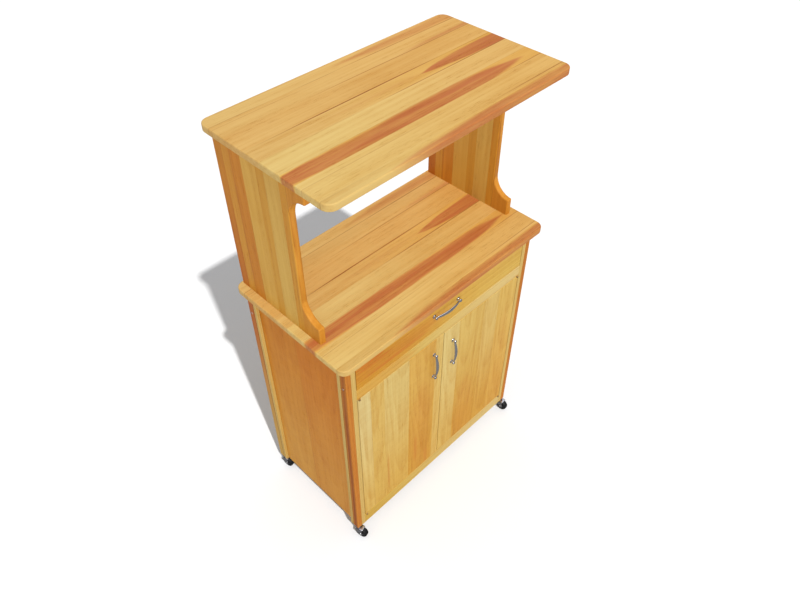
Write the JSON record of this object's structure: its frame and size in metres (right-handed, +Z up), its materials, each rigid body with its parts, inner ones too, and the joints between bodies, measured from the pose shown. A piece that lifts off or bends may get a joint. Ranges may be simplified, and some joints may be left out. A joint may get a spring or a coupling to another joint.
{
  "type": "butcher block table",
  "caption": "Rolling butcher block table: cupboard with a drawer and two doors under a worktop, and a second board carried above it on two cut-out sides.",
  "frame": {"origin": "middle of the footprint, on the floor under the wheels", "axes": "+X to the right along the length of the boards, the drawer and doors face -Y, +Z up"},
  "size_m": [0.787, 0.433, 1.37],
  "materials": {
    "butcher_block": "oiled, glued lengthwise strips, pale with red-brown streaks",
    "hutch_wood": "clear satin, upright strips of mixed tone",
    "post_wood": "clear satin, dark red-brown heartwood",
    "stile_wood": "clear satin, pale straight grain",
    "side_panel_wood": "clear satin, even warm brown",
    "door_wood": "clear satin, wide upright staves",
    "drawer_front_wood": "clear satin, orange grain along the length",
    "inner_wood": "plain sanded",
    "plywood": "plain sanded plywood",
    "dowel_wood": "plain turned",
    "pull_metal": "bright, slightly satin",
    "caster_metal": "bright plated",
    "steel": "zinc plated",
    "wheel_rubber": "black, semi-matte",
    "catch_plastic": "brown moulded"
  },
  "bodies": {
    "cabinet": {"upper_top": "butcher_block", "hutch_side_left": "hutch_wood", "hutch_side_right": "hutch_wood", "hutch_dowels": "dowel_wood", "worktop": "butcher_block", "worktop_screws": "steel", "post_front_left": "post_wood", "post_front_right": "post_wood", "post_back_left": "post_wood", "post_back_right": "post_wood", "side_stiles_left": "stile_wood", "side_stiles_right": "stile_wood", "front_stile_left": "stile_wood", "front_stile_right": "stile_wood", "mid_rail": "stile_wood", "bottom_rail": "stile_wood", "back_rails": "inner_wood", "side_panel_left": "side_panel_wood", "side_panel_right": "side_panel_wood", "back_panel": "plywood", "cabinet_floor": "plywood", "worktop_cleats": "inner_wood", "top_rail": "inner_wood", "drawer_runners": "inner_wood", "shelf": "inner_wood", "shelf_pins": "steel", "post_screws": "steel", "door_catch": "catch_plastic", "hinge_frame_leaves": "steel", "caster_sockets": "steel"},
    "drawer": {"drawer_front": "drawer_front_wood", "drawer_side_left": "inner_wood", "drawer_side_right": "inner_wood", "drawer_back": "inner_wood", "drawer_bottom": "plywood", "drawer_pull": "pull_metal", "drawer_pull_screws": "steel", "drawer_stop": "inner_wood"},
    "door_left": {"door_left": "door_wood", "door_left_pull": "pull_metal", "door_left_pull_screws": "steel", "door_left_hinge_leaves": "steel", "door_left_strike": "steel"},
    "door_right": {"door_right": "door_wood", "door_right_pull": "pull_metal", "door_right_pull_screws": "steel", "door_right_hinge_leaves": "steel", "door_right_strike": "steel"},
    "caster_front_left": {"caster_fork_front_left": "caster_metal", "caster_axle_front_left": "steel"},
    "wheel_front_left": {"caster_wheel_front_left": "wheel_rubber"},
    "caster_front_right": {"caster_fork_front_right": "caster_metal", "caster_axle_front_right": "steel"},
    "wheel_front_right": {"caster_wheel_front_right": "wheel_rubber"},
    "caster_back_left": {"caster_fork_back_left": "caster_metal", "caster_axle_back_left": "steel"},
    "wheel_back_left": {"caster_wheel_back_left": "wheel_rubber"},
    "caster_back_right": {"caster_fork_back_right": "caster_metal", "caster_axle_back_right": "steel"},
    "wheel_back_right": {"caster_wheel_back_right": "wheel_rubber"}
  },
  "joints": [
    {"name": "drawer_slide", "type": "slide", "parent": "cabinet", "child": "drawer", "axis": [0, -1, 0], "range_m": [0, 0.279]},
    {"name": "door_left_hinge", "type": "hinge", "parent": "cabinet", "child": "door_left", "pos_m": [-0.329, -0.193, 0.398], "axis": [0, 0, -1], "range_deg": [0, 110]},
    {"name": "door_right_hinge", "type": "hinge", "parent": "cabinet", "child": "door_right", "pos_m": [0.329, -0.193, 0.398], "axis": [0, 0, 1], "range_deg": [0, 110]},
    {"name": "caster_front_left_swivel", "type": "hinge", "parent": "cabinet", "child": "caster_front_left", "pos_m": [-0.36, -0.18, 0.05], "axis": [0, 0, 1], "continuous": true},
    {"name": "wheel_front_left_spin", "type": "hinge", "parent": "caster_front_left", "child": "wheel_front_left", "pos_m": [-0.35625, -0.19504, 0.02], "axis": [0.9703, 0.2419, 0], "continuous": true},
    {"name": "caster_front_right_swivel", "type": "hinge", "parent": "cabinet", "child": "caster_front_right", "pos_m": [0.36, -0.18, 0.05], "axis": [0, 0, 1], "continuous": true},
    {"name": "wheel_front_right_spin", "type": "hinge", "parent": "caster_front_right", "child": "wheel_front_right", "pos_m": [0.36108, -0.19546, 0.02], "axis": [0.9976, 0.0698, 0], "continuous": true},
    {"name": "caster_back_left_swivel", "type": "hinge", "parent": "cabinet", "child": "caster_back_left", "pos_m": [-0.36, 0.197, 0.05], "axis": [0, 0, 1], "continuous": true},
    {"name": "wheel_back_left_spin", "type": "hinge", "parent": "caster_back_left", "child": "wheel_back_left", "pos_m": [-0.35784, 0.18165, 0.02], "axis": [0.9903, 0.1392, 0], "continuous": true},
    {"name": "caster_back_right_swivel", "type": "hinge", "parent": "cabinet", "child": "caster_back_right", "pos_m": [0.36, 0.197, 0.05], "axis": [0, 0, 1], "continuous": true},
    {"name": "wheel_back_right_spin", "type": "hinge", "parent": "caster_back_right", "child": "wheel_back_right", "pos_m": [0.36322, 0.18184, 0.02], "axis": [0.9781, 0.2079, 0], "continuous": true}
  ]
}
